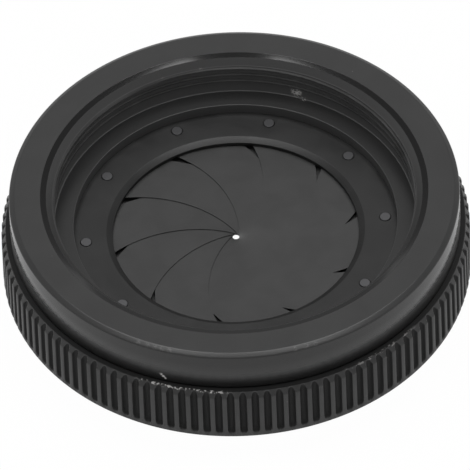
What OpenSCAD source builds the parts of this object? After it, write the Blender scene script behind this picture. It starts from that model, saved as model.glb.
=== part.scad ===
// Iris diaphragm of the near-zero aperture kind, for a camera, telescope or microscope light path.
// Ten crescent leaves hinge on a fixed pivot plate inside a threaded housing. A slotted drive ring
// under them is turned by a knurled grip ring, through two pegs that pass the housing's arc slots.
// Millimetres. +Z points to the front thread; the origin is the centre of the rear end face.
// The leaves are drawn closed, which is the rest position of every joint.

/* [Aperture] */
// Diameter of the fully open aperture, which is the bore of the pivot plate
clear_aperture_d = 28.5; // [27.5:0.1:28.7]
// Diameter of the hole that the closed leaves leave
closed_aperture_d = 0.76; // [0.6:0.02:1.4]
// How far the open leaves draw back behind the plate's bore
leaf_tuck = 0.18; // [0.1:0.01:0.3]

/* [Leaves] */
// Width of a leaf, from its inner arc to its outer arc
leaf_w = 6.17; // [5.8:0.01:6.25]
// Thickness of the leaf sheet
leaf_t = 0.06; // [0.04:0.005:0.065]
// Distance of the pivot pins from the leaves' inner arc
pivot_inset = 2.92; // [2.8:0.01:3.1]
// Direction of the first pivot pin, counter-clockwise from +X
first_pivot_angle = 3.4; // [0:0.1:35.9]
// Angle from the pivot pin to the drive pin about the leaf's centre of curvature
drive_pin_angle = 133; // [131:0.5:134]
// Distance of the drive pin from the leaf's inner arc
drive_inset = 3.77; // [3.6:0.01:4]
// Clearance that a leaf gains over its neighbour in one leaf pitch about the optical axis
leaf_clearance = 0.025; // [0.022:0.001:0.04]
// Climb of a leaf about its own centre of curvature over one leaf pitch
centre_climb = 0.05; // [0.045:0.001:0.06]
// Diameter of the pivot pins
pivot_pin_d = 1.3; // [1.1:0.05:1.4]
// Diameter of the drive pins
drive_pin_d = 0.9; // [0.8:0.05:1]
// Diameter of the rivet shank that fixes a pin in its leaf
rivet_d = 0.7; // [0.5:0.05:0.75]
// How far a pivot pin's end stands above the pivot plate
pivot_proud = 0.1; // [0:0.01:0.15]

/* [Pivot plate] */
// Thickness of the pivot plate
plate_t = 0.8; // [0.7:0.05:1]
// Width of the plate that shows outside the pivot pins
plate_margin = 0.7; // [0.5:0.05:1]
// Width of the bevel round the plate's bore
plate_bevel_w = 0.7; // [0.4:0.05:0.8]
// Depth of that bevel
plate_bevel_h = 0.4; // [0.2:0.05:0.5]
// Diameter of the dowels that locate the plate
dowel_d = 1.2; // [1:0.1:1.3]
// Depth of the dowels' holes in the housing
dowel_depth = 0.9; // [0.7:0.05:1]

/* [Housing] */
// Nominal diameter of the front and rear threads
thread_d = 42; // [41.9:0.05:42.1]
// Width of the head, from its thread to its outer wall
head_wall = 5.02; // [4.7:0.01:5.3]
// Height of the head's outer wall
head_h = 5.2; // [5:0.05:5.6]
// Width of the chamfer on the head's outer edge
head_chamfer_w = 0.6; // [0.4:0.05:1.2]
// Height of that chamfer
head_chamfer_h = 0.33; // [0.3:0.01:1]
// Chamfer on the head's lower edge
head_foot_chamfer = 0.15; // [0.1:0.01:0.25]
// Width between the thread and the head's flat top
lip_ledge = 1.3; // [1.1:0.05:1.5]
// Drop of the shallow bevel inside the flat top
lip_drop = 0.15; // [0.05:0.01:0.25]
// Width of the shallow bevel inside the flat top
lip_w = 0.6; // [0.4:0.05:0.7]
// Depth at which the thread's lead-in chamfer ends
lead_in_depth = 0.9; // [0.6:0.05:1.2]
// Depth of the step at the bottom of the thread
step_depth = 4.95; // [4.8:0.05:5.15]
// Thickness of the ledge between that step and the pivot plate
ledge_t = 1.35; // [1.2:0.05:1.6]
// Clearance round the leaves in their chamber, at their widest reach
chamber_gap = 0.54; // [0.4:0.05:0.8]
// Width of the shoulder between the chamber and the bore round the drive ring
shoulder_w = 0.5; // [0.4:0.05:0.6]
// Wall of the sleeve inside the grip ring
sleeve_wall = 1.65; // [1.5:0.05:1.8]
// Height of the sleeve below the pegs' centre line
sleeve_skirt = 2.6; // [2.3:0.05:2.8]

/* [Drive ring] */
// Thickness of the slotted web
cam_t = 1.2; // [1:0.05:1.3]
// Thickness of the rim that holds the pegs
rim_t = 1.9; // [1.8:0.05:2.1]
// Width of the rim
rim_w = 2.4; // [2.2:0.05:2.5]

/* [Grip ring] */
// Thickness of the grip ring, from its bore to the knurled lands
grip_wall = 3.58; // [3.4:0.01:3.9]
// How far the grip ring's foot stands below the rear cover's flange
grip_lap = 0.2; // [0:0.05:0.4]
// Number of flutes in the knurl
flute_count = 120; // [90:1:125]
// Depth of a flute
flute_depth = 0.42; // [0.2:0.01:0.45]
// Radius of a flute's round bottom
flute_r = 0.36; // [0.25:0.01:0.37]
// Width of the chamfer on the grip's top edge
grip_chamfer_w = 0.48; // [0.2:0.01:0.6]
// Height of that chamfer
grip_chamfer_h = 0.77; // [0.3:0.01:1]
// Radius of the grip's rounded lower edge
grip_round = 1.2; // [0.8:0.05:1.5]
// How far the keyways for the pegs reach into the grip's wall
keyway_depth = 1.55; // [1.3:0.05:1.7]

/* [Rear cover] */
// How far the cover's flange stands out from the sleeve
flange_ledge = 1.2; // [1:0.05:1.4]
// Thickness of the cover's flange
flange_t = 1.2; // [1.1:0.05:1.3]
// How far the rear thread stands out of the flange
spigot_h = 3.25; // [3:0.05:4.5]
// Wall of the cover inside the rear thread
spigot_wall = 2.07; // [1.8:0.01:2.3]
// Shortfall of the rear thread's outer diameter from the nominal one
thread_allowance = 0.06; // [0.02:0.01:0.1]
// Width of the undercut behind the rear thread
undercut_w = 0.8; // [0.5:0.05:1]
// Depth of the undercut behind the rear thread
undercut_depth = 0.62; // [0.4:0.02:0.7]
// Chamfer at the mouths of the rear thread and of the cover's bore
cover_chamfer = 0.5; // [0.3:0.05:0.6]

/* [Pegs, screws and spring] */
// Diameter of the two drive pegs
peg_d = 1.2; // [1:0.05:1.3]
// Clearance of a peg in its arc slot, all round
peg_clearance = 0.15; // [0.1:0.01:0.2]
// Nominal diameter of the cover's screws
screw_d = 1.2; // [1:0.1:1.2]
// Diameter of the screws' heads
screw_head_d = 2.1; // [1.9:0.05:2.2]
// Height of the screws' heads
screw_head_h = 0.65; // [0.5:0.05:0.7]
// Width of the slots in the screws' heads
screw_slot_w = 0.3; // [0.2:0.05:0.4]
// Depth of those slots
screw_slot_depth = 0.3; // [0.2:0.05:0.35]
// Length of the screws' thread in the housing
screw_grip = 2.4; // [2:0.1:2.8]
// Thickness of the wave spring's strip
spring_t = 0.15; // [0.1:0.01:0.2]
// Width of the wave spring's strip
spring_w = 1.9; // [1.6:0.05:2]
// Space between the drive ring and the cover, which the wave spring fills
spring_space = 0.44; // [0.4:0.01:0.5]

/* [Fits] */
// Radial clearance of a turning fit
run_gap = 0.05; // [0.03:0.01:0.08]
// End float of the parts that turn
end_gap = 0.05; // [0.03:0.01:0.08]
// Radial clearance between the grip ring and what it turns on
grip_gap = 0.1; // [0.08:0.01:0.12]
// Height of the gap between the grip ring and the head
head_gap = 0.1; // [0.08:0.01:0.15]
// Vertical clearance between the leaves and the plates round them
leaf_gap = 0.03; // [0.03:0.005:0.05]
// Radial clearance of a fixed fit
fixed_gap = 0.01; // [0.005:0.005:0.02]
// Clearance at the pegs' ends and inside the wave spring
loose_gap = 0.15; // [0.1:0.01:0.2]

/* [Hidden] */
leaf_count = 10;
leaf_pitch = 360 / leaf_count;
function two_digits(n) = n < 10 ? str("0", n) : str(n);
function leaf_node(n) = str("blade_", two_digits(n));
function pins_node(n) = str("blade_pins_", two_digits(n));

$fn = 96;
cut = 1;                  // how far a cutter runs past the face that it opens
round_cells = 4;          // flats that make up the grip's rounded lower edge
anodised = "#202022";
blackened = "#2b2b2e";
plate_black = "#26272a";
steel = "#8c8c90";

// Leaf geometry in the leaf's own layout: pivot pin on +X, the leaf running clockwise to its drive pin
clear_r = clear_aperture_d / 2;
leaf_in_r = clear_r + leaf_tuck;
pivot_r = leaf_in_r + pivot_inset;
drive_pin_r = leaf_in_r + drive_inset;
leaf_out_r = leaf_in_r + leaf_w;
leaf_mid_r = (leaf_in_r + leaf_out_r) / 2;
leaf_throw = leaf_in_r - closed_aperture_d / 2;       // from the axis to the closed leaf's centre
leaf_turn = 2 * asin(leaf_throw / (2 * pivot_r));     // closed to open, about the pivot
drive_ratio = 2;                                      // the drive ring's turn over the leaf's
ring_turn = drive_ratio * leaf_turn;
function polar(r, a) = [r * cos(a), r * sin(a)];
function turned(p, a) = [p.x * cos(a) - p.y * sin(a), p.x * sin(a) + p.y * cos(a)];
pivot_at = [pivot_r, 0];
leaf_centre = polar(leaf_throw, 90 - leaf_turn / 2);
leaf_start = atan2(pivot_at.y - leaf_centre.y, pivot_at.x - leaf_centre.x);
leaf_near = 90 - leaf_turn / 2;           // leaf angle from the pivot to where it passes the axis
drive_at = leaf_centre + polar(drive_pin_r, leaf_start - drive_pin_angle);

// The leaf's height drops along it, clockwise about the axis and about its own centre
axis_climb = leaf_t + leaf_clearance;
function clockwise(p) = let (a = -atan2(p.y, p.x)) a < -60 ? a + 360 : a;
function leaf_drop(p, s) = (axis_climb * clockwise(p) + centre_climb * s) / leaf_pitch;
cap_r = leaf_w / 2;
cap_angle = asin(cap_r / leaf_mid_r);
function cap_reach(e) = sqrt(max(0, pow(cap_r, 2) - pow(leaf_mid_r * sin(e), 2)));
function over(s) = s < 0 ? -s : s > drive_pin_angle ? s - drive_pin_angle : 0;
function edge_in(s) = over(s) > 0 ? leaf_mid_r * cos(over(s)) - cap_reach(over(s)) : leaf_in_r;
function edge_out(s) = over(s) > 0 ? leaf_mid_r * cos(over(s)) + cap_reach(over(s)) : leaf_out_r;
tip = leaf_centre + polar(leaf_mid_r, leaf_start - drive_pin_angle - cap_angle);
full_drop = leaf_drop(tip, drive_pin_angle + cap_angle);
heel_rise = -leaf_drop(leaf_centre + polar(leaf_mid_r, leaf_start + cap_angle), -cap_angle);

// Stations along the leaf and rows across it, closely spaced where it passes the axis
cap_cells = 4;
half_cells = 15;
row_cells = 6;
crowding = 4;          // how soon the stations reach their full spacing away from the axis
closeness = 0.9;       // how much closer the stations are at the axis
row_crowding = 2.4;
blunt = 0.985;         // the caps stop just short of a point
function tanh(x) = 1 - 2 / (exp(2 * x) + 1);
function crowd(t) = (t - closeness / crowding * tanh(crowding * t)) / (1 - closeness / crowding * tanh(crowding));
function crowd_row(t) = (exp(row_crowding * t) - 1) / (exp(row_crowding) - 1);
function cap_step(i) = cap_angle * blunt * sin(90 * i / cap_cells);
stations = concat(
    [for (i = [cap_cells : -1 : 1]) -cap_step(i)],
    [for (i = [half_cells : -1 : 1]) leaf_near * (1 - crowd(i / half_cells))],
    [for (i = [0 : half_cells]) leaf_near + (drive_pin_angle - leaf_near) * crowd(i / half_cells)],
    [for (i = [1 : cap_cells]) drive_pin_angle + cap_step(i)]
);
rows = [for (j = [0 : row_cells]) crowd_row(j / row_cells)];
function leaf_point(s, t) = leaf_centre + polar(edge_in(s) + (edge_out(s) - edge_in(s)) * t, leaf_start - s);

// Levels, from the rear end face up
leaf_space = heel_rise + full_drop + leaf_t + 2 * leaf_gap;
flange_z = spigot_h;
flange_top_z = flange_z + flange_t;
peg_z = flange_top_z + sleeve_skirt;
rim_z = peg_z - rim_t / 2;
cover_top_z = rim_z - spring_space;
cam_top_z = peg_z + rim_t / 2;
cam_z = cam_top_z - cam_t;
plate_z = cam_top_z + leaf_space;
leaf_z = plate_z - leaf_gap - heel_rise - leaf_t / 2;      // middle of the leaf at its pivot
plate_top_z = plate_z + plate_t;
step_z = plate_top_z + ledge_t;
front_z = step_z + step_depth;
head_foot_z = front_z - head_h;
grip_z = flange_z - grip_lap;
grip_top_z = head_foot_z - head_gap;

// Drive ring: straight radial slots, wide enough for the pins' small sideways swing
drive_pin_rad = drive_pin_d / 2;
samples = [for (i = [0 : 24]) leaf_turn * i / 24];
pin_path = [for (a = samples) pivot_at + turned(drive_at - pivot_at, a)];
path_r = [for (p = pin_path) norm(p)];
path_dir = [for (i = [0 : len(samples) - 1])
    let (d = atan2(pin_path[i].y, pin_path[i].x) - drive_ratio * samples[i])
    d > 0 ? d - 360 : d];
slot_dir = (min(path_dir) + max(path_dir)) / 2;
pin_swing = max([for (i = [0 : len(samples) - 1]) abs(path_r[i] * sin(path_dir[i] - slot_dir))]);
slot_w = drive_pin_d + 2 * (pin_swing + run_gap);
slot_end_r = slot_w / 2;
slot_from_r = min(path_r) - drive_pin_rad - run_gap + slot_end_r;
slot_to_r = max(path_r);

// Radii, from the leaves' reach outwards
leaf_swept = [for (a = samples, s = stations) norm(pivot_at + turned(leaf_point(s, 1) - pivot_at, a))];
chamber_r = max(leaf_swept) + chamber_gap;
drive_bore_r = chamber_r + shoulder_w;
sleeve_r = drive_bore_r + sleeve_wall;
grip_bore_r = sleeve_r + grip_gap;
grip_r = grip_bore_r + grip_wall;
flange_r = sleeve_r + flange_ledge;
step_bore_r = pivot_r + pivot_pin_d / 2 + plate_margin;
thread_r = thread_d / 2;
head_r = thread_r + head_wall;
lip_r = thread_r + lip_ledge;
rear_r = thread_r - thread_allowance / 2;
cover_bore_r = rear_r - spigot_wall;
ring_bore_r = clear_r + run_gap;
ring_r = drive_bore_r - run_gap;
rim_start_r = ring_r - rim_w;

// Pegs, arc slots and keyways
first_peg_angle = 0;
peg_angles = [first_peg_angle, first_peg_angle + 180];
peg_rad = peg_d / 2;
keyway_r = grip_bore_r + keyway_depth;
peg_out_r = keyway_r - loose_gap;
peg_in_r = rim_start_r + peg_rad;
arc_slot_rad = peg_rad + peg_clearance;

// Fasteners
web_angle = first_peg_angle + ring_turn + (180 - ring_turn) / 2;
screw_spread = 22;
screw_angles = [for (w = [web_angle, web_angle + 180], d = [-screw_spread, screw_spread]) w + d];
screw_circle_r = (drive_bore_r + sleeve_r) / 2;
dowel_r = (step_bore_r + chamber_r) / 2;
dowel_angles = [for (k = [0, 5]) first_pivot_angle + leaf_pitch * (k + 0.5)];

module at_angles(angles, r) {
    for (a = angles) rotate([0, 0, a]) translate([r, 0, 0]) children();
}

// Turned part: a closed outline of [radius, height] points, spun about the axis
module turned_part(outline) {
    rotate_extrude($fn = 180) polygon(outline);
}

// Housing: threaded head, step, plate seat, leaf chamber and the sleeve with its two arc slots
module front_housing() {
    outline = [
        [head_r - head_chamfer_w, front_z], [head_r, front_z - head_chamfer_h],
        [head_r, head_foot_z + head_foot_chamfer], [head_r - head_foot_chamfer, head_foot_z],
        [sleeve_r, head_foot_z], [sleeve_r, flange_top_z],
        [drive_bore_r, flange_top_z], [drive_bore_r, cam_top_z + end_gap],
        [chamber_r, cam_top_z + end_gap], [chamber_r, plate_top_z],
        [step_bore_r, plate_top_z], [step_bore_r, step_z],
        [thread_r, step_z], [thread_r, front_z - lead_in_depth],
        [lip_r - lip_w, front_z - lip_drop], [lip_r, front_z]
    ];
    color(anodised) difference() {
        turned_part(outline);
        for (a = peg_angles) arc_slot(a);
        at_angles(screw_angles, screw_circle_r)
            translate([0, 0, flange_top_z - cut])
                cylinder(h = screw_grip + cut, d = screw_d + 2 * fixed_gap);
        at_angles(dowel_angles, dowel_r)
            translate([0, 0, plate_top_z - cut])
                cylinder(h = dowel_depth + cut, d = dowel_d + 2 * fixed_gap);
    }
}

// Slot through the sleeve from a closed peg's place to its open place
module arc_slot(start) {
    end_ease = 0.01;       // the slot's ends are a hair wider, as plunge cuts leave them
    inner = chamber_r - cut;
    rotate([0, 0, start]) rotate_extrude(angle = ring_turn, $fn = 180)
        translate([inner, peg_z - arc_slot_rad])
            square([sleeve_r + cut - inner, 2 * arc_slot_rad]);
    for (a = [start, start + ring_turn])
        rotate([0, 0, a]) translate([inner, 0, peg_z])
            rotate([0, 90, 0]) cylinder(h = sleeve_r + cut - inner, r = arc_slot_rad + end_ease);
}

// Plate: carries the ten pivots, bevelled towards the front
module pivot_plate() {
    outer = chamber_r - 2 * fixed_gap;
    color(plate_black) difference() {
        turned_part([
            [clear_r, plate_z], [outer, plate_z], [outer, plate_top_z],
            [clear_r + plate_bevel_w, plate_top_z], [clear_r, plate_top_z - plate_bevel_h]
        ]);
        at_angles([for (n = [0 : leaf_count - 1]) first_pivot_angle + n * leaf_pitch], pivot_r)
            plate_hole(pivot_pin_d + 2 * run_gap);
        at_angles(dowel_angles, dowel_r)
            plate_hole(dowel_d + 2 * fixed_gap);
    }
}

module plate_hole(d) {
    translate([0, 0, plate_z - cut]) cylinder(h = plate_t + 2 * cut, d = d);
}

// Two pins that stop the plate from turning in its seat
module plate_dowels() {
    color(steel) at_angles(dowel_angles, dowel_r)
        translate([0, 0, plate_z + end_gap]) cylinder(h = plate_t + dowel_depth - 2 * end_gap, d = dowel_d);
}

// Leaf: a crescent sheet swept as rows of points
module leaf_sheet() {
    across = len(rows);
    along = len(stations);
    layer = across * along;
    points = [for (side = [0.5, -0.5], s = stations, t = rows)
        let (p = leaf_point(s, t)) [p.x, p.y, leaf_z - leaf_drop(p, s) + side * leaf_t]];
    function at(i, j, l) = l * layer + i * across + j;
    faces = concat(
        [for (i = [0 : along - 2], j = [0 : across - 2], l = [0, 1], h = [0, 1])
            let (a = at(i, j, l), b = at(i + 1, j, l), c = at(i + 1, j + 1, l), d = at(i, j + 1, l),
                 half = h == 0 ? [a, d, c] : [a, c, b])
            l == 0 ? half : [half[2], half[1], half[0]]],
        [for (i = [0 : along - 2]) [at(i, 0, 1), at(i, 0, 0), at(i + 1, 0, 0), at(i + 1, 0, 1)]],
        [for (i = [0 : along - 2], j = [across - 1])
            [at(i + 1, j, 1), at(i + 1, j, 0), at(i, j, 0), at(i, j, 1)]],
        [for (j = [0 : across - 2]) [at(0, j + 1, 1), at(0, j + 1, 0), at(0, j, 0), at(0, j, 1)]],
        [for (i = [along - 1], j = [0 : across - 2])
            [at(i, j, 1), at(i, j, 0), at(i, j + 1, 0), at(i, j + 1, 1)]]
    );
    polyhedron(points, faces, convexity = 4);
}

module blade(n) {
    color(blackened) rotate([0, 0, first_pivot_angle + (n - 1) * leaf_pitch]) difference() {
        leaf_sheet();
        for (p = [pivot_at, drive_at])
            translate([p.x, p.y, plate_z - full_drop - cut])
                cylinder(h = full_drop + 2 * cut, d = rivet_d + 2 * fixed_gap, $fn = 24);
    }
}

// Pins of one leaf: the pivot pin stands up into the plate, the drive pin hangs into its cam slot
module blade_pins(n) {
    seat = leaf_t / 2 + fixed_gap;
    tip_chamfer = 0.12;
    drive_z = leaf_z - leaf_drop(drive_at, drive_pin_angle);
    pivot_rad = pivot_pin_d / 2;
    pivot_top = plate_top_z + pivot_proud;
    color(steel) rotate([0, 0, first_pivot_angle + (n - 1) * leaf_pitch]) {
        translate([pivot_at.x, pivot_at.y, 0]) turned_part([
            [0, leaf_z - leaf_t / 4], [rivet_d / 2, leaf_z - leaf_t / 4], [rivet_d / 2, leaf_z + seat],
            [pivot_rad, leaf_z + seat], [pivot_rad, pivot_top - tip_chamfer],
            [pivot_rad - tip_chamfer, pivot_top], [0, pivot_top]
        ]);
        translate([drive_at.x, drive_at.y, 0]) turned_part([
            [0, drive_z + leaf_t / 4], [rivet_d / 2, drive_z + leaf_t / 4], [rivet_d / 2, drive_z - seat],
            [drive_pin_rad, drive_z - seat], [drive_pin_rad, cam_z + 2 * end_gap], [0, cam_z + 2 * end_gap]
        ]);
    }
}

// Drive ring: slotted web under the leaves, thicker rim for the pegs
module drive_ring() {
    color(blackened) difference() {
        turned_part([
            [ring_bore_r, cam_z], [rim_start_r, cam_z], [rim_start_r, rim_z],
            [ring_r, rim_z], [ring_r, cam_top_z], [ring_bore_r, cam_top_z]
        ]);
        for (n = [0 : leaf_count - 1])
            rotate([0, 0, first_pivot_angle + n * leaf_pitch + slot_dir]) cam_slot();
        at_angles(peg_angles, peg_in_r - fixed_gap) translate([0, 0, peg_z])
            rotate([0, 90, 0]) cylinder(h = ring_r, d = peg_d + 2 * fixed_gap);
    }
}

module cam_slot() {
    height = cam_t + 2 * cut;
    translate([0, 0, cam_z - cut]) {
        for (r = [slot_from_r, slot_to_r]) translate([r, 0, 0]) cylinder(h = height, r = slot_end_r);
        translate([slot_from_r, -slot_end_r, 0]) cube([slot_to_r - slot_from_r, slot_w, height]);
    }
}

// Pegs that carry the grip's turn to the drive ring
module drive_pegs() {
    color(steel) at_angles(peg_angles, peg_in_r) translate([0, 0, peg_z])
        rotate([0, 90, 0]) cylinder(h = peg_out_r - peg_in_r, d = peg_d);
}

// Grip ring: straight round-bottomed knurl, keyways for the pegs, counterbore for the rear flange
module knurled_ring() {
    shelf_z = flange_top_z + end_gap;
    counterbore_r = flange_r + grip_gap;
    color(anodised) difference() {
        turned_part(concat(
            [[grip_bore_r, grip_top_z], [grip_r - grip_chamfer_w, grip_top_z], [grip_r, grip_top_z - grip_chamfer_h]],
            [for (a = [0 : -90 / round_cells : -90])
                [grip_r - grip_round, grip_z + grip_round] + polar(grip_round, a)],
            [[counterbore_r, grip_z], [counterbore_r, shelf_z], [grip_bore_r, shelf_z]]
        ));
        for (k = [0 : flute_count - 1]) rotate([0, 0, 360 * k / flute_count])
            translate([grip_r - flute_depth + flute_r, 0, grip_z - cut])
                cylinder(h = grip_top_z - grip_z + 2 * cut, r = flute_r, $fn = 20);
        for (a = peg_angles) rotate([0, 0, a])
            translate([grip_bore_r - cut, -peg_rad - run_gap, shelf_z - cut])
                cube([keyway_depth + cut, peg_d + 2 * run_gap, peg_z + arc_slot_rad - shelf_z + cut]);
    }
}

// Wave spring: takes up the drive ring's end float
module wave_spring() {
    inner_r = rim_start_r + loose_gap;
    waves = 4;
    cells = 48;
    middle = rim_z - spring_space / 2;
    swing = (spring_space - spring_t) / 2 - 2 * fixed_gap;
    points = [for (i = [0 : cells - 1], side = [0.5, -0.5], r = [inner_r, inner_r + spring_w])
        let (a = 360 * i / cells) [r * cos(a), r * sin(a), middle + swing * cos(waves * a) + side * spring_t]];
    function at(i, k) = (i % cells) * 4 + k;
    // corners of a section: 0 inner top, 1 outer top, 2 inner bottom, 3 outer bottom
    faces = [for (i = [0 : cells - 1], side = [[0, 1], [1, 3], [3, 2], [2, 0]], h = [0, 1])
        let (a = at(i, side[0]), b = at(i, side[1]), c = at(i + 1, side[1]), d = at(i + 1, side[0]))
        h == 0 ? [a, d, c] : [a, c, b]];
    color(steel) polyhedron(points, faces, convexity = 4);
}

// Rear cover: closes the sleeve, holds the grip ring on and carries the rear thread
module rear_cover() {
    register_r = drive_bore_r - 2 * fixed_gap;
    color(anodised) difference() {
        turned_part([
            [cover_bore_r, cover_top_z], [register_r, cover_top_z], [register_r, flange_top_z],
            [flange_r, flange_top_z], [flange_r, flange_z],
            [rear_r - undercut_depth, flange_z], [rear_r - undercut_depth, flange_z - undercut_w],
            [rear_r, flange_z - undercut_w], [rear_r, cover_chamfer], [rear_r - cover_chamfer, 0],
            [cover_bore_r + cover_chamfer, 0], [cover_bore_r, cover_chamfer]
        ]);
        at_angles(screw_angles, screw_circle_r) {
            translate([0, 0, flange_z - cut])
                cylinder(h = flange_t + 2 * cut, d = screw_d + 2 * grip_gap);
            translate([0, 0, flange_z - cut])
                cylinder(h = screw_head_h + end_gap + cut, d = screw_head_d + 2 * run_gap);
        }
    }
}

// Four cheese-head screws, sunk in the flange
module cover_screws() {
    seat_z = flange_z + screw_head_h + end_gap;
    slot = [screw_head_d + cut, screw_slot_w, screw_slot_depth];
    color(steel) at_angles(screw_angles, screw_circle_r) difference() {
        union() {
            translate([0, 0, seat_z - screw_head_h]) cylinder(h = screw_head_h, d = screw_head_d);
            translate([0, 0, seat_z - screw_head_h / 2])
                cylinder(h = flange_top_z + screw_grip - fixed_gap - seat_z + screw_head_h / 2, d = screw_d);
        }
        translate([-slot.x / 2, -slot.y / 2, seat_z - screw_head_h - slot.z]) cube([slot.x, slot.y, 2 * slot.z]);
    }
}

front_housing();
pivot_plate();
plate_dowels();
for (n = [1 : leaf_count]) {
    blade(n);
    blade_pins(n);
}
drive_ring();
drive_pegs();
knurled_ring();
wave_spring();
rear_cover();
cover_screws();
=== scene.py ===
"""Looks of a near-zero aperture iris diaphragm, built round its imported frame.

The frame gives the pieces' places and the bodies that they ride on. Each class below holds one
sub-assembly: it builds fine meshes from its sizes, dresses them and puts them on their bodies.
Sizes and points are in millimetres, in the row frame, with +Z to the front, until mesh_object
writes them to a mesh in metres.
"""
import logging
import math
from dataclasses import dataclass, field
from enum import Enum
from functools import cached_property
from typing import Callable, Iterable, Sequence

import bmesh
import bpy
from mathutils import Matrix, Vector


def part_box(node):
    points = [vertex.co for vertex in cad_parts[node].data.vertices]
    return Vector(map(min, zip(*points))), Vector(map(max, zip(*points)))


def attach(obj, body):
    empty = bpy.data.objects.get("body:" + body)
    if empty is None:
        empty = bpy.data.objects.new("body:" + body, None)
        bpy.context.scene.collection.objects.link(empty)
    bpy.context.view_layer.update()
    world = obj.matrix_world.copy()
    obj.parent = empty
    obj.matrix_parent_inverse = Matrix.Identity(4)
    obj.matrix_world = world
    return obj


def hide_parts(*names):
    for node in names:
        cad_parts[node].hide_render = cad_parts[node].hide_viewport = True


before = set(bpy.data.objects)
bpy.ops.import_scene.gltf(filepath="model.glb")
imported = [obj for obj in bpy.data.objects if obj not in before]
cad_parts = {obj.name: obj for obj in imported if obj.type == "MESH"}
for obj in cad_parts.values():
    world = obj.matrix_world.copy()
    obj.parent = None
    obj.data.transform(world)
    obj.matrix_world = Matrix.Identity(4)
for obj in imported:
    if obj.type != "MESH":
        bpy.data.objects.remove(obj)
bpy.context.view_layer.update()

MM = 0.001
TURN = 2 * math.pi
LOG = logging.getLogger("iris")

Shape = bpy.types.Object
Socket = bpy.types.NodeSocket
Point2 = tuple[float, float]
Colour = tuple[float, float, float]

# Sizes that several pieces or their finishes share, in millimetres and degrees
LIP_R = 22.4
LIP_W = 0.68
THREAD_R = 21.0
THREAD_PITCH = 0.99
STEP_R = 18.7
STEP_DEPTH = 4.95
GRIP_R = 27.08
GRIP_CHAMFER_W = 0.48
GRIP_CHAMFER_H = 0.77
PEG_Z = 7.05
PIVOT_R = 17.35
LEAF_COUNT = 10
PIVOT_ANGLES = tuple(3.4 + 360 / LEAF_COUNT * n for n in range(LEAF_COUNT))
SCREW_R = 22.577
SCREW_ANGLES = (115.77, 159.77, 295.77, 339.77)


def span_of(node: str) -> Point2:
    """Heights of a node's lower and upper face."""
    low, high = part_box(node)
    return low.z / MM, high.z / MM


def radius_of(node: str) -> float:
    """Radius of a round node about the optical axis."""
    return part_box(node)[1].y / MM


def at_angle(radius: float, degrees: float, height: float = 0.0) -> Vector:
    """A point at a distance and a direction from the optical axis."""
    a = math.radians(degrees)
    return Vector((radius * math.cos(a), radius * math.sin(a), height))


def stand(thing: Shape, place: Vector, across: Vector, up: Vector, back: Vector) -> Shape:
    """Put an object into the scene.

    Args:
        thing: The camera or the lamp.
        place: Where it stands, in millimetres.
        across: Direction of its own X axis.
        up: Direction of its own Y axis.
        back: Direction of its own Z axis, away from what it looks at.

    Returns:
        The same object.
    """
    bpy.context.scene.collection.objects.link(thing)
    thing.matrix_world = Matrix.Translation(place * MM) @ Matrix((across, up, back)).transposed().to_4x4()
    return thing


# ---------------------------------------------------------------- camera, lights and stage


@dataclass(frozen=True)
class Viewpoint:
    """The camera: a long lens that looks down at the front of the iris."""

    elevation: float = 46.5
    roll: float = 2.41
    distance: float = 2275.0
    pixels_per_mm: float = 8.674
    frame_pixels: float = 470.0
    sensor: float = 36.0
    aim_right: float = 0.10
    aim_up: float = -4.956

    def axes(self) -> tuple[Vector, Vector, Vector]:
        """The camera's right, up and forward directions, as unit vectors in the row frame."""
        tilt, roll = math.radians(self.elevation), math.radians(self.roll)
        forward = Vector((0, math.cos(tilt), -math.sin(tilt)))
        level_up = Vector((0, math.sin(tilt), math.cos(tilt)))
        across = Vector((1, 0, 0))
        right = math.cos(roll) * across - math.sin(roll) * level_up
        up = math.sin(roll) * across + math.cos(roll) * level_up
        return right, up, forward

    def place(self, aim_height: float) -> None:
        """Make the camera and set it as the scene's own.

        Args:
            aim_height: Height of the front face's centre.
        """
        right, up, forward = self.axes()
        data = bpy.data.cameras.new("camera")
        data.sensor_width = self.sensor
        data.lens = self.pixels_per_mm * self.distance * self.sensor / self.frame_pixels
        data.clip_start = 0.1
        data.clip_end = 20
        aim = Vector((0, 0, aim_height)) + self.aim_right * right + self.aim_up * up
        bpy.context.scene.camera = stand(bpy.data.objects.new("camera", data), aim - self.distance * forward,
                                         right, up, -forward)


@dataclass(frozen=True)
class SoftBox:
    """One oblong area lamp that faces the iris."""

    name: str
    right: float
    back: float
    height: float
    width: float
    depth: float
    power: float

    def place(self) -> None:
        """Make the lamp and turn it towards the origin."""
        data = bpy.data.lights.new(self.name, "AREA")
        data.shape = "RECTANGLE"
        data.size = self.width * MM
        data.size_y = self.depth * MM
        data.energy = self.power
        away = Vector((self.right, self.back, self.height))
        across = Vector((0, 1, 0)).cross(away).normalized()
        back = away.normalized()
        stand(bpy.data.objects.new(self.name, data), away, across, back.cross(across), back)


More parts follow.
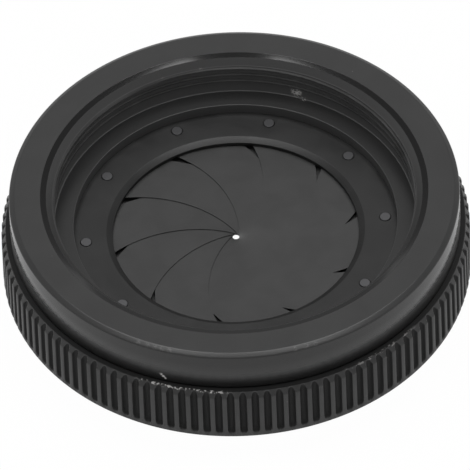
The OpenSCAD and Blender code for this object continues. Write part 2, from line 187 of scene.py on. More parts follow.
@dataclass
class Studio:
    """Pale floor, bright surroundings and soft lamps."""

    floor_half: float = 1500.0
    floor_colour: Colour = (0.9, 0.9, 0.9)
    floor_glow: float = 0.985
    sky_low: float = 0.62
    sky_high: float = 0.25
    sky_top: float = 0.8
    lamps: tuple[SoftBox, ...] = (
        SoftBox("left_lamp", -162, 45, 680, 218, 470, 1.75),
        SoftBox("right_lamp", 158, 45, 680, 226, 470, 1.8),
        SoftBox("back_lamp", 0, 250, 205, 110, 66, 0.016),
    )

    def build(self) -> None:
        """Make the floor, the world and the lamps."""
        self.make_floor()
        self.make_world()
        for lamp in self.lamps:
            lamp.place()
        bpy.context.scene.view_settings.view_transform = "Standard"

    def make_floor(self) -> None:
        """A plane under the iris: it takes its shadow and looks white to the camera."""
        half = self.floor_half
        floor = mesh_object("floor", [(-half, -half, 0), (half, -half, 0), (half, half, 0), (-half, half, 0)],
                            [(0, 1, 2, 3)])
        shader = Shader("floor_paper")
        paper = shader.node("ShaderNodeBsdfDiffuse", Color=(*self.floor_colour, 1))
        glow = shader.node("ShaderNodeEmission", Strength=1.0)
        path = shader.node("ShaderNodeLightPath")
        share = shader.times(path.outputs["Is Camera Ray"], self.floor_glow)
        mix = shader.node("ShaderNodeMixShader", Fac=share)
        shader.link(paper.outputs[0], mix.inputs[1])
        shader.link(glow.outputs[0], mix.inputs[2])
        shader.link(mix.outputs[0], shader.output.inputs["Surface"])
        floor.data.materials.append(shader.material)

    def make_world(self) -> None:
        """White to the camera, and a plain soft light, brighter near the horizon, to everything else."""
        world = bpy.data.worlds.new("studio")
        bpy.context.scene.world = world
        world.use_nodes = True
        nodes, links = world.node_tree.nodes, world.node_tree.links
        path, ray, parts, height, blend = (nodes.new("ShaderNode" + kind) for kind in (
            "LightPath", "TexCoord", "SeparateXYZ", "MapRange", "Mix"))
        height.interpolation_type = "SMOOTHSTEP"
        back = nodes["Background"]
        for socket, value in ((back.inputs["Color"], (1, 1, 1, 1)), (blend.inputs["B"], 1.0),
                              (height.inputs["From Min"], 0.0), (height.inputs["From Max"], self.sky_top),
                              (height.inputs["To Min"], self.sky_low),
                              (height.inputs["To Max"], self.sky_high)):
            socket.default_value = value
        links.new(ray.outputs["Generated"], parts.inputs[0])
        links.new(parts.outputs["Z"], height.inputs["Value"])
        links.new(height.outputs["Result"], blend.inputs["A"])
        links.new(path.outputs["Is Camera Ray"], blend.inputs["Factor"])
        links.new(blend.outputs["Result"], back.inputs["Strength"])


# ---------------------------------------------------------------- mesh helpers


def mesh_object(name: str, points: Iterable[Sequence[float]], faces: Iterable[Sequence[int]]) -> Shape:
    """Make a linked mesh object.

    Args:
        name: Name of the object and of its mesh.
        points: Corner positions in millimetres.
        faces: Corner numbers of each face.

    Returns:
        The new object.
    """
    data = bpy.data.meshes.new(name)
    data.from_pydata([tuple(c * MM for c in p) for p in points], [], [tuple(f) for f in faces])
    data.validate()
    shape = bpy.data.objects.new(name, data)
    bpy.context.scene.collection.objects.link(shape)
    return shape


def smooth(shape: Shape, angle: float) -> None:
    """Shade a mesh smooth, apart from edges sharper than an angle in degrees."""
    shape.data.polygons.foreach_set("use_smooth", [True] * len(shape.data.polygons))
    shape.data.set_sharp_from_angle(angle=math.radians(angle))


def outward(shape: Shape, weld: bool = False) -> Shape:
    """Turn every face of a closed mesh outward.

    Args:
        shape: The mesh.
        weld: Whether points that coincide, as at a tip, are merged first.

    Returns:
        The same object.
    """
    work = bmesh.new()
    work.from_mesh(shape.data)
    if weld:
        bmesh.ops.remove_doubles(work, verts=work.verts, dist=1e-8)
    bmesh.ops.recalc_face_normals(work, faces=work.faces)
    work.to_mesh(shape.data)
    work.free()
    return shape


def rounded(outline: Sequence[tuple[float, float, float]], cells: int = 4) -> list[Point2]:
    """Round the corners of a closed outline.

    Args:
        outline: Corners as (radius, height, rounding); a rounding of 0 stays sharp.
        cells: Steps along each rounding.

    Returns:
        The outline's points, with an arc in place of each rounded corner.
    """
    points: list[Point2] = []
    for i, (r, z, fillet) in enumerate(outline):
        here = Vector((r, z))
        before = Vector(outline[i - 1][:2]) - here
        after = Vector(outline[(i + 1) % len(outline)][:2]) - here
        if fillet <= 0:
            points.append((r, z))
            continue
        half = before.angle(after) / 2
        reach = min(fillet / math.tan(half), before.length * 0.49, after.length * 0.49)
        start = here + before.normalized() * reach
        end = here + after.normalized() * reach
        for k in range(cells + 1):
            t = k / cells
            p = start * (1 - t) ** 2 + here * 2 * t * (1 - t) + end * t ** 2
            points.append((p.x, p.y))
    return points


def loft(name: str, sections: Sequence[Sequence[Sequence[float]]], closed: bool = False,
         weld: bool = False) -> Shape:
    """Skin closed loops one after another.

    Args:
        name: Name of the object.
        sections: The loops, each with the same number of points.
        closed: Whether the last loop joins the first; otherwise both ends get a cap.
        weld: Whether points that coincide are merged.

    Returns:
        A closed mesh.
    """
    total, count = len(sections), len(sections[0])
    faces: list[Sequence[int]] = []
    for i in range(total if closed else total - 1):
        a, b = i * count, (i + 1) % total * count
        faces += [(a + j, b + j, b + (j + 1) % count, a + (j + 1) % count) for j in range(count)]
    if not closed:
        faces += [range(count), range(total * count - 1, (total - 1) * count - 1, -1)]
    return outward(mesh_object(name, [p for section in sections for p in section], faces), weld)


def spin(name: str, outline: Sequence[Point2] | Callable[[float], Sequence[Point2]],
         steps: int = 360) -> Shape:
    """Spin a closed outline about the optical axis.

    Args:
        name: Name of the object.
        outline: Points as (radius, height), or what gives them at an angle in radians.
        steps: Number of steps round the axis.

    Returns:
        A closed ring-shaped mesh.
    """
    sections = []
    for i in range(steps):
        angle = TURN * i / steps
        c, s = math.cos(angle), math.sin(angle)
        sections.append([(r * c, r * s, z) for r, z in (outline(angle) if callable(outline) else outline)])
    return loft(name, sections, closed=True)


def turned_pin(name: str, outline: Sequence[Point2], centre: Sequence[float], steps: int = 40) -> Shape:
    """Spin an open outline that starts and ends on the pin's own axis.

    Args:
        name: Name of the object.
        outline: Points as (radius, height), whose first and last radius is 0.
        centre: Place of the pin's axis.
        steps: Number of steps round the pin.

    Returns:
        A closed solid of revolution.
    """
    x, y = centre[:2]
    rim = outline[1:-1]
    points = [(x, y, outline[0][1]), (x, y, outline[-1][1])]
    faces: list[tuple[int, ...]] = []
    for i in range(steps):
        c, s = math.cos(TURN * i / steps), math.sin(TURN * i / steps)
        points += [(x + r * c, y + r * s, z) for r, z in rim]
        a, b = 2 + i * len(rim), 2 + (i + 1) % steps * len(rim)
        faces += [(a + j, b + j, b + j + 1, a + j + 1) for j in range(len(rim) - 1)]
        faces += [(0, b, a), (1, a + len(rim) - 1, b + len(rim) - 1)]
    return outward(mesh_object(name, points, faces))


def bar(name: str, radius: float, start: Vector, end: Vector, steps: int = 40) -> Shape:
    """A round bar between two points.

    Args:
        name: Name of the object.
        radius: Its radius.
        start: Centre of its first end.
        end: Centre of its second end.
        steps: Number of sides.

    Returns:
        A closed mesh.
    """
    turn = (end - start).to_track_quat("Z", "Y")
    rim = [turn @ Vector((radius * math.cos(TURN * i / steps), radius * math.sin(TURN * i / steps), 0))
           for i in range(steps)]
    return loft(name, [[base + p for p in rim] for base in (start, end)])


def carve(shape: Shape, tools: Sequence[Shape]) -> Shape:
    """Cut solids out of a shape for good, and delete them.

    Args:
        shape: The mesh to cut.
        tools: Closed meshes.

    Returns:
        The shape.
    """
    group = bpy.data.collections.new(shape.name + "_cutters")
    for tool in tools:
        group.objects.link(tool)
    cut = shape.modifiers.new("cut", "BOOLEAN")
    cut.operand_type = "COLLECTION"
    cut.collection = group
    cut.operation = "DIFFERENCE"
    cut.solver = "EXACT"
    bpy.context.view_layer.update()
    done = bpy.data.meshes.new_from_object(shape.evaluated_get(bpy.context.evaluated_depsgraph_get()))
    shape.modifiers.clear()
    shape.data = done
    for tool in tools:
        bpy.data.objects.remove(tool)
    bpy.data.collections.remove(group)
    return shape


def joined(name: str, shapes: Sequence[Shape]) -> Shape:
    """Join meshes into one object under a new name, and delete them."""
    work = bmesh.new()
    for shape in shapes:
        work.from_mesh(shape.data)
        bpy.data.objects.remove(shape)
    whole = mesh_object(name, [], [])
    work.to_mesh(whole.data)
    work.free()
    return whole


@dataclass(frozen=True)
class ThreadForm:
    """A right-hand helical ridge on a round wall, which starts at the front and winds rearward."""

    wall_r: float
    crest_r: float
    start_z: float
    start_angle: float
    turns: float
    sink: float
    lead_in: Callable[[float], float] | None = None
    crest_share: float = 0.09
    flank: float = 30.0
    fade_turns: float = 0.3
    steps_per_turn: int = 200

    def build(self, name: str) -> Shape:
        """Sweep the ridge along its helix.

        Args:
            name: Name of the object.

        Returns:
            A closed mesh whose two ends run out into the wall.
        """
        crest = self.crest_share * THREAD_PITCH
        foot = crest + abs(self.wall_r - self.crest_r) * math.tan(math.radians(self.flank))
        buried = self.wall_r + math.copysign(self.sink, self.wall_r - self.crest_r)
        profile = ((buried, foot), (self.wall_r, foot), (self.crest_r, crest),
                   (self.crest_r, -crest), (self.wall_r, -foot), (buried, -foot))
        steps = int(self.turns * self.steps_per_turn)
        sections = []
        for i in range(steps + 1):
            wound = self.turns * i / steps
            grown = min(1.0, wound / self.fade_turns, (self.turns - wound) / self.fade_turns)
            angle = math.radians(self.start_angle) - TURN * wound
            section = []
            for r, h in profile:
                z = self.start_z - THREAD_PITCH * wound + h * max(grown, 0.05)
                reach = self.wall_r + (r - self.wall_r) * (max(grown, 0.02) if r == self.crest_r else 1)
                if self.lead_in:
                    reach = max(reach, self.lead_in(z) + 0.01)
                section.append((reach * math.cos(angle), reach * math.sin(angle), z))
            sections.append(section)
        return loft(name, sections)


# ---------------------------------------------------------------- finishes


class Shader:
    """The node tree of one material, built step by step."""

    def __init__(self, name: str) -> None:
        """Start a material with only its output node."""
        self.material = bpy.data.materials.new(name)
        self.material.use_nodes = True
        self.tree = self.material.node_tree
        self.tree.nodes.clear()
        self.output = self.tree.nodes.new("ShaderNodeOutputMaterial")

    def link(self, source: Socket, target: Socket) -> None:
        """Join two sockets."""
        self.tree.links.new(source, target)

    def feed(self, socket: Socket, value: object) -> None:
        """Set a socket's value, or link it where the value is another socket."""
        if isinstance(value, Socket):
            self.link(value, socket)
        else:
            socket.default_value = value

    def node(self, kind: str, **values: object) -> bpy.types.Node:
        """Add a node.

        Args:
            kind: Blender's name of the node type.
            **values: A number, a colour or a socket for each input, with _ for a space in its name.

        Returns:
            The node.
        """
        made = self.tree.nodes.new(kind)
        for key, value in values.items():
            self.feed(made.inputs[key.replace("_", " ")], value)
        return made

    def maths(self, operation: str, *values: object) -> Socket:
        """Result of a Math node, given its operation and a number or a socket for each operand."""
        made = self.node("ShaderNodeMath")
        made.operation = operation
        for socket, value in zip(made.inputs, values):
            self.feed(socket, value)
        return made.outputs[0]

    def times(self, first: object, *others: object) -> Socket:
        """Product of two or more numbers or sockets."""
        for other in others:
            first = self.maths("MULTIPLY", first, other)
        return first

    def blend(self, share: object, first: object, second: object) -> Socket:
        """A number that goes from the first to the second with a share."""
        return self.maths("ADD", first, self.times(share, self.maths("SUBTRACT", second, first)))

    def length(self, first: Socket, second: Socket) -> Socket:
        """Length of the line whose two legs are given."""
        return self.maths("SQRT", self.maths("ADD", self.times(first, first), self.times(second, second)))

    @cached_property
    def place(self) -> Socket:
        """The point on the piece, in millimetres."""
        scaled = self.node("ShaderNodeVectorMath")
        scaled.operation = "SCALE"
        self.link(self.node("ShaderNodeTexCoord").outputs["Object"], scaled.inputs[0])
        scaled.inputs["Scale"].default_value = 1 / MM
        return scaled.outputs[0]

    @cached_property
    def parts(self) -> tuple[Socket, Socket, Socket]:
        """The point's X, Y and Z."""
        return tuple(self.node("ShaderNodeSeparateXYZ", Vector=self.place).outputs)

    @cached_property
    def radius(self) -> Socket:
        """The point's distance from the optical axis."""
        return self.length(*self.parts[:2])

    @cached_property
    def angle(self) -> Socket:
        """The point's direction from the optical axis, in radians."""
        return self.maths("ARCTAN2", self.parts[1], self.parts[0])

    @cached_property
    def height(self) -> Socket:
        """The point's height."""
        return self.parts[2]

    def noise(self, scale: float, detail: float = 3.0, distortion: float = 0.0,
              over: Socket | None = None) -> Socket:
        """Smooth noise from 0 to 1, at a scale per millimetre, over the point or over another one."""
        return self.node("ShaderNodeTexNoise", Vector=self.place if over is None else over, Scale=scale,
                         Detail=detail, Distortion=distortion).outputs["Fac"]

    def line_noise(self, along: Socket, scale: float, detail: float = 3.0) -> Socket:
        """Noise over one number, which draws lines where that number is even."""
        made = self.node("ShaderNodeTexNoise", Scale=scale, Detail=detail)
        made.noise_dimensions = "1D"
        self.link(along, made.inputs["W"])
        return made.outputs["Fac"]

    def spread(self, value: Socket, low: float, high: float, start: object = 0.0,
               end: object = 1.0) -> Socket:
        """Map a value from low..high to start..end with soft ends, and no further."""
        made = self.node("ShaderNodeMapRange")
        made.interpolation_type = "SMOOTHSTEP"
        for socket, given in zip(made.inputs, (value, low, high, start, end)):
            self.feed(socket, given)
        return made.outputs["Result"]

    def below(self, value: Socket, low: float, high: float) -> Socket:
        """A mask that is 1 up to a low value and 0 from a high one."""
        return self.spread(value, low, high, 1.0, 0.0)

    def between(self, value: Socket, low: float, high: float) -> Socket:
        """A mask that is 1 between two values."""
        return self.times(self.spread(value, low - 0.02, low + 0.03),
                          self.below(value, high - 0.03, high + 0.02))

    def tint(self, share: object, first: object, second: object) -> Socket:
        """Blend two colours, given as colours or as sockets."""
        made = self.node("ShaderNodeMix")
        made.data_type = "RGBA"
        self.feed(made.inputs[0], share)
        for socket, colour in ((made.inputs[6], first), (made.inputs[7], second)):
            self.feed(socket, (*colour, 1) if isinstance(colour, tuple) else colour)
        return made.outputs[2]

    def relief(self, height: Socket, depth: float, under: Socket | None = None) -> Socket:
        """A bump of a depth in millimetres, on top of another bump where one is given."""
        made = self.node("ShaderNodeBump", Height=height, Distance=depth * MM, Strength=1.0)
        if under is not None:
            self.link(under, made.inputs["Normal"])
        return made.outputs["Normal"]

    def finish(self, **values: object) -> None:
        """Close the material with a Principled shader, whose inputs are given as for node."""
        surface = self.node("ShaderNodeBsdfPrincipled", **values)
        self.link(surface.outputs[0], self.output.inputs["Surface"])


def grey(level: float, warmth: float = 0.0) -> Colour:
    """A grey, a little warmer or cooler than neutral."""
    return (level * (1 + warmth), level, level * (1 - warmth))


@dataclass(frozen=True)
class Finish:
    """A surface finish that pieces share."""

    name: str
    level: float
    roughness: float
    slot: str
    warmth: float = 0.0

    def material(self) -> bpy.types.Material:
        """The finish's material, made the first time that it is asked for."""
        known = bpy.data.materials.get(self.name)
        if known is None:
            shader = Shader(self.name)
            self.paint(shader)
            known = shader.material
        return known

    def paint(self, shader: Shader) -> None:
        """Build the finish's nodes."""
        raise NotImplementedError

    def shade(self, share: float) -> Colour:
        """The finish's colour at a share of its level."""
        return grey(self.level * share, self.warmth)

    def clouded(self, shader: Shader, cloud: Socket, dark: float, light: float, edge: float = 0.3) -> Socket:
        """The finish's colour, from a darker to a lighter share of its level over a noise."""
        return shader.tint(shader.spread(cloud, edge, 1 - edge), self.shade(dark), self.shade(light))

    def uneven(self, shader: Shader, noise: Socket, swing: float) -> Socket:
        """The finish's roughness, which swings up and down with a noise."""
        return shader.spread(noise, 0.3, 0.7, self.roughness - swing, self.roughness + swing)


@dataclass(frozen=True)
class Mark:
    """A small place where the black is knocked or rubbed off, or a painted highlight speck, given about the
    optical axis.
    """

    radius: float
    angle: float
    height: float
    reach: float
    strength: float
    density: float


@dataclass(frozen=True)
class TurnedAnodising(Finish):
    """Black anodised aluminium with the fine rings that the lathe left under it."""

    ring_depth: float = 0.0016
    grain_depth: float = 0.0016
    rings_per_mm: float = 9.0
    dust: float = 0.5
    dust_level: float = 0.32
    dust_scale: float = 0.42
    dust_share: float = 0.14
    ior: float = 1.5

    def textures(self, shader: Shader) -> tuple[Socket, Socket, Socket]:
        """The noises of the turned rings, of soft clouds and of fine grain."""
        rings = shader.line_noise(shader.maths("ADD", shader.radius, shader.height), self.rings_per_mm)
        return rings, shader.noise(0.22, distortion=0.6), shader.noise(9.0)

    def paint(self, shader: Shader) -> None:
        """Build the finish's nodes."""
        rings, cloud, grain = self.textures(shader)
        shade = self.clouded(shader, cloud, 0.82, 1.2)
        shade = shader.tint(shader.spread(grain, 0.55, 0.8, 0, 0.35), shade, self.shade(1.9))
        rough = shader.maths("ADD", self.uneven(shader, rings, 0.05),
                             shader.spread(cloud, 0.3, 0.7, -0.03, 0.03))
        normal = shader.relief(grain, self.grain_depth, shader.relief(rings, self.ring_depth))
        shader.finish(Base_Color=self.dusted(shader, shade), Roughness=rough, IOR=self.ior, Normal=normal)

    def dusted(self, shader: Shader, shade: Socket) -> Socket:
        """Lay a few specks of pale dust on a colour."""
        cells = shader.node("ShaderNodeTexVoronoi", Vector=shader.place, Scale=self.dust_scale,
                            Randomness=1.0)
        near = shader.below(cells.outputs["Distance"], 0.018, 0.03)
        pick = shader.node("ShaderNodeSeparateColor", Color=cells.outputs["Color"]).outputs[0]
        return shader.tint(shader.times(near, shader.maths("LESS_THAN", pick, self.dust_share),
                                        self.dust), shade,
                           grey(self.dust_level, 0.03))


@dataclass(frozen=True)
class HousingAnodising(TurnedAnodising):
    """The housing's anodising: matt front, glossier fresh-cut bevel and outer wall, with painted light and
    shade.
    """

    top_z: float = 16.0
    wall_r: float = 26.0
    bevel_level: float = 0.007
    bevel_roughness: float = 0.1
    lead_in_level: float = 0.038
    # Painted light: the recess walls are painted paler than the housing, where the lamps bring too little
    # light.
    bore_painted_light_level: float = 0.088
    bore_roughness: float = 0.5
    # Painted shade: the ledge at the bottom of the recess, which the wall shades.
    ledge_painted_shade_level: float = 0.003
    ledge_roughness: float = 0.24
    # Painted highlight along the ledge's corners, not wear.
    corner_painted_highlight_level: float = 0.085
    wall_level: float = 0.014
    # Painted shade: the outer wall's colour darkens towards its foot, over the grip.
    wall_foot_painted_shade_level: float = 0.01
    wall_roughness: float = 0.12
    wall_foot_roughness: float = 0.34
    taper_from: float = 1.6
    taper: float = 0.05
    # Colour of the rubbed marks and of the painted highlight specks.
    bare_level: float = 0.6
    marks_and_painted_glints: tuple[Mark, ...] = (
        Mark(21.0, 68.4, 11.85, 0.9, 1.0, 0.14), Mark(21.0, 66.0, 11.1, 0.5, 0.6, 0.1),
        Mark(21.0, 68.2, 11.75, 0.4, 1.0, 0.3),
        Mark(21.05, 111.5, 14.9, 0.35, 0.4, 0.1), Mark(21.05, 99.0, 15.0, 0.35, 0.3, 0.1),
        Mark(26.02, 249.2, 11.85, 0.26, 0.8, 0.25), Mark(26.02, 249.8, 11.55, 0.26, 0.9, 0.3),
        Mark(26.02, 250.3, 11.3, 0.2, 0.8, 0.3),
        # Painted highlight specks on the outer chamfer, where the lamps' highlights fall.
        *(Mark(25.74, a, 15.86, 0.4, 0.09, 0.16)
          for a in (243.0, 245.5, 247.5, 249.5, 251.5, 284.0, 287.0, 289.5)),
    )

    def paint(self, shader: Shader) -> None:
        """Build the finish's nodes."""
        radius, height, top = shader.radius, shader.height, self.top_z
        rings, cloud, grain = self.textures(shader)
        bevel = shader.between(radius, LIP_R - LIP_W, LIP_R)
        lead_in = shader.between(radius, THREAD_R + 0.1, LIP_R - LIP_W)
        bore = shader.times(shader.below(height, top - 0.95, top - 0.75),
                            shader.below(radius, THREAD_R + 0.1, THREAD_R + 0.3))
        ledge = shader.times(shader.between(height, self.step_z - 0.02, self.step_z + 0.02),
                             shader.between(radius, STEP_R + 0.02, THREAD_R - 0.1))
        wall = shader.spread(radius, self.wall_r - 0.06, self.wall_r - 0.02)
        # Painted shade: the outer wall darkens towards its foot.
        wall_shade = shader.tint(shader.spread(height, top - 4.7, top - 3.6), grey(self.wall_foot_painted_shade_level),
                                 grey(self.wall_level))
        shade = shader.tint(wall, self.clouded(shader, cloud, 0.95, 1.05), wall_shade)
        shade = shader.tint(lead_in, shade, grey(self.lead_in_level, self.warmth))
        # Painted light and shade in the threaded recess.
        shade = shader.tint(bore, shade, self.bore_painted_light_and_shade(shader, ledge))
        shade = shader.tint(shader.spread(grain, 0.55, 0.8, 0, 0.25), shade, self.shade(1.9))
        shade = shader.tint(bevel, shade, grey(self.bevel_level))
        # Rubbed and chipped marks, with painted highlight specks on the outer chamfer.
        shade = self.with_marks_and_painted_glints(shader, self.dusted(shader, shade))
        rough = shader.maths("ADD", self.uneven(shader, rings, 0.04),
                             shader.spread(cloud, 0.3, 0.7, -0.01, 0.01))
        handled = shader.spread(height, top - 4.2, top - 1.2, self.wall_foot_roughness, self.wall_roughness)
        for share, target in ((wall, handled), (bore, self.bore_roughness), (ledge, self.ledge_roughness),
                              (bevel, self.bevel_roughness)):
            rough = shader.blend(share, rough, target)
        plain = shader.maths("SUBTRACT", 1.0, bevel)
        low = shader.maths("MAXIMUM", shader.maths("SUBTRACT", top - self.taper_from, height), 0.0)
        normal = shader.relief(shader.times(low, low, wall, -self.taper), 1.0)
        normal = shader.relief(shader.times(rings, plain), self.ring_depth, normal)
        normal = shader.relief(shader.times(grain, plain), self.grain_depth, normal)
        shader.finish(Base_Color=shade, Roughness=rough, IOR=self.ior, Normal=normal)

    @property
    def step_z(self) -> float:
        """Height of the ledge at the bottom of the threaded recess."""
        return self.top_z - STEP_DEPTH

    def bore_painted_light_and_shade(self, shader: Shader, ledge: Socket) -> Socket:
        """Painted light and shade in the recess: a darker ledge and step wall, a paler wall, painted
        highlights on the edges.
        """
        deep = shader.spread(shader.height, self.step_z - 0.1, self.step_z)
        shade = shader.tint(deep, grey(self.bore_painted_light_level * 0.75), grey(self.bore_painted_light_level))
        # Painted shade on the ledge.
        shade = shader.tint(ledge, shade, grey(self.ledge_painted_shade_level))
        # Painted highlight: a pale line where the ledge meets the threaded wall, and a faint one on its edge
        # at the step.
        corner = self.near_edge(shader, THREAD_R, 0.13)
        edge = shader.times(self.near_edge(shader, STEP_R, 0.1), 0.1)
        return shader.tint(shader.maths("MAXIMUM", corner, edge), shade, grey(self.corner_painted_highlight_level))

    def near_edge(self, shader: Shader, edge_r: float, reach: float) -> Socket:
        """A mask that is 1 within a reach of the ledge's edge at a radius."""
        gap = shader.length(shader.maths("SUBTRACT", shader.radius, edge_r),
                            shader.maths("SUBTRACT", shader.height, self.step_z))
        return shader.below(gap, reach * 0.7, reach)

    def with_marks_and_painted_glints(self, shader: Shader, shade: Socket) -> Socket:
        """Lay the small rubbed or chipped places, and the painted highlight specks, on a colour."""
        crumbs = shader.noise(5.5, distortion=0.3)
        for mark in self.marks_and_painted_glints:
            gap = shader.node("ShaderNodeVectorMath", Vector=shader.place)
            gap.operation = "DISTANCE"
            gap.inputs[1].default_value = at_angle(mark.radius, mark.angle, mark.height)
            near = shader.below(gap.outputs["Value"], mark.reach * 0.35, mark.reach)
            broken = shader.spread(crumbs, 0.62 - mark.density, 0.7 - mark.density)
            shade = shader.tint(shader.times(near, broken, mark.strength), shade, grey(self.bare_level, 0.02))
        return shade


@dataclass(frozen=True)
class KnurlAnodising(TurnedAnodising):
    """The grip's anodising, rubbed pale on the edges of its lands, with painted shade in its flutes and on
    its top.
    """

    top_z: float = 10.7
    foot_z: float = 3.05
    # Painted shade: the near-black of the flutes, doubled for the top face under the housing.
    flute_painted_shade_level: float = 0.002
    flute_roughness: float = 0.72
    chips: float = 0.85
    bare_level: float = 0.55

    def paint(self, shader: Shader) -> None:
        """Build the finish's nodes."""
        cloud, grain = shader.noise(0.3, distortion=0.6), shader.noise(8.0)
        sunk = self.sunk(shader)
        # Painted shade: the flutes are painted near black.
        shade = shader.tint(sunk, self.clouded(shader, cloud, 0.8, 1.2), grey(self.flute_painted_shade_level))
        edge_r = GRIP_R - GRIP_CHAMFER_W
        # Painted shade on the ring's top face, which lies under the housing's overhang.
        upper = shader.times(shader.below(shader.radius, edge_r - 0.1, edge_r),
                             shader.spread(shader.height, self.top_z - 0.06, self.top_z - 0.02))
        shade = shader.tint(upper, shade, grey(self.flute_painted_shade_level * 2))
        rub = shader.times(shader.spread(shader.radius, GRIP_R - 0.12, GRIP_R - 0.01),
                           shader.spread(grain, 0.45, 0.7, 0.1, 0.45))
        shade = shader.tint(rub, shade, self.shade(2.4))
        shade = self.dusted(shader, shader.tint(self.chipped(shader, edge_r), shade,
                                                grey(self.bare_level, 0.02)))
        rough = shader.maths("MAXIMUM", self.uneven(shader, grain, 0.06),
                             shader.times(sunk, self.flute_roughness))
        shader.finish(Base_Color=shade, Roughness=rough, IOR=self.ior, Normal=shader.relief(grain, 0.003))

    def sunk(self, shader: Shader) -> Socket:
        """A mask of the flutes: 1 where the surface lies under the profile of the lands."""
        rise = shader.maths("MAXIMUM", shader.maths("SUBTRACT", shader.height,
                                                    self.top_z - GRIP_CHAMFER_H), 0.0)
        land = shader.maths("SUBTRACT", GRIP_R, shader.times(rise, GRIP_CHAMFER_W / GRIP_CHAMFER_H))
        return shader.times(shader.spread(shader.maths("SUBTRACT", land, shader.radius), 0.07, 0.13),
                            shader.spread(shader.height, self.foot_z + 0.9, self.foot_z + 1.3))

    def chipped(self, shader: Shader, edge_r: float) -> Socket:
        """Where handling has knocked the anodising off the upper ends of the lands.

        Args:
            shader: The material's tree.
            edge_r: Radius of the ring's upper edge.

        Returns:
            A socket from 0, whole, to 1, bare metal.
        """
        spots = shader.spread(shader.noise(2.6, distortion=0.4), 0.52, 0.58)
        edge = shader.times(shader.spread(shader.height, self.top_z - 0.22, self.top_z - 0.1),
                            shader.spread(shader.radius, edge_r - 0.25, edge_r - 0.12))
        worn = [shader.spread(shader.maths("COSINE", shader.maths("SUBTRACT", shader.angle,
                                                                  math.radians(middle))),
                              0.975, full, 0.0, most)
                for middle, full, most in ((-105, 0.99, 1.0), (-52, 0.995, 0.35))]
        return shader.times(spots, edge, shader.maths("MAXIMUM", *worn), self.chips)


@dataclass(frozen=True)
class LeafBlackening(Finish):
    """Chemically blackened spring steel sheet, with faint rolling lines and rubbed streaks."""

    def paint(self, shader: Shader) -> None:
        """Build the finish's nodes."""
        stretched = shader.node("ShaderNodeMapping", Vector=shader.place, Scale=(0.35, 3.5, 1.0))
        streaks = shader.noise(1.6, distortion=0.3, over=stretched.outputs[0])
        cloud, grain = shader.noise(0.3, 2.0, 0.5), shader.noise(14.0, 2.0)
        shade = shader.tint(shader.spread(streaks, 0.5, 0.8, 0, 0.3), self.clouded(shader, cloud, 0.9, 1.1),
                            self.shade(1.5))
        normal = shader.relief(grain, 0.0012, shader.relief(streaks, 0.002))
        shader.finish(Base_Color=shade, Roughness=self.uneven(shader, streaks, 0.04), IOR=1.5, Normal=normal)


@dataclass(frozen=True)
class TurnedSteel(Finish):
    """Bare or blackened steel with a fine grain."""

    metallic: float = 1.0
    pit_depth: float = 0.003

    def paint(self, shader: Shader) -> None:
        """Build the finish's nodes."""
        grain, cloud = shader.noise(12.0), shader.noise(2.6)
        shader.finish(Base_Color=self.clouded(shader, cloud, 0.62, 1.25, edge=0.35), Metallic=self.metallic,
                      Roughness=self.uneven(shader, grain, 0.08), IOR=1.5,
                      Normal=shader.relief(grain, self.pit_depth))


class Black(Enum):
    """The dark finishes of the housing, the grip and the leaves."""

    HOUSING = HousingAnodising("housing_anodising", 0.028, 0.36, "anodised_housing",
                               top_z=span_of("front_housing")[1], wall_r=radius_of("front_housing"))
    PLATE = TurnedAnodising("plate_anodising", 0.011, 0.42, "anodised_plate", rings_per_mm=14.0)
    # Painted light: the front thread is a paler copy of the housing's anodising, on the same slot.
    THREAD = TurnedAnodising("thread_anodising_painted_light", 0.056, 0.75, "anodised_housing", ior=1.2, dust=0.0)
    RING = TurnedAnodising("ring_blacking", 0.022, 0.45, "blackened_ring", rings_per_mm=11.0)
    GRIP = KnurlAnodising("grip_anodising", 0.025, 0.38, "anodised_grip", foot_z=span_of("knurled_ring")[0],
                          top_z=span_of("knurled_ring")[1])
    LEAF = LeafBlackening("leaf_blacking", 0.034, 0.42, "blackened_leaf")


class Steel(Enum):
    """The steel finishes."""

    PIN = TurnedSteel("pin_steel", 0.075, 0.38, "pin_steel", 0.03, pit_depth=0.014)
    PLAIN = TurnedSteel("plain_steel", 0.45, 0.3, "plain_steel")
    SPRING = TurnedSteel("spring_steel", 0.36, 0.32, "spring_steel")
    SCREW = TurnedSteel("screw_oxide", 0.05, 0.38, "black_screw", metallic=0.0)


# ---------------------------------------------------------------- sub-assemblies


@dataclass
class SubAssembly:
    """Pieces that ride on one or more bodies, with the finish that each has."""

    made: list[str] = field(default_factory=list, init=False)

    def fit(self, shape: Shape, body: str, finish: Black | Steel, *nodes: str, sharp: float = 32.0) -> None:
        """Dress a finished mesh and put it on its body.

        Args:
            shape: The mesh, in its place in the row frame.
            body: The body that it moves with.
            finish: Its finish.
            *nodes: The solids that it stands for.
            sharp: Angle in degrees above which an edge stays crisp.
        """
        smooth(shape, sharp)
        shape.data.materials.clear()
        shape.data.materials.append(finish.value.material())
        if nodes:
            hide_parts(*nodes)
        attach(shape, body)
        self.made.append(shape.name)


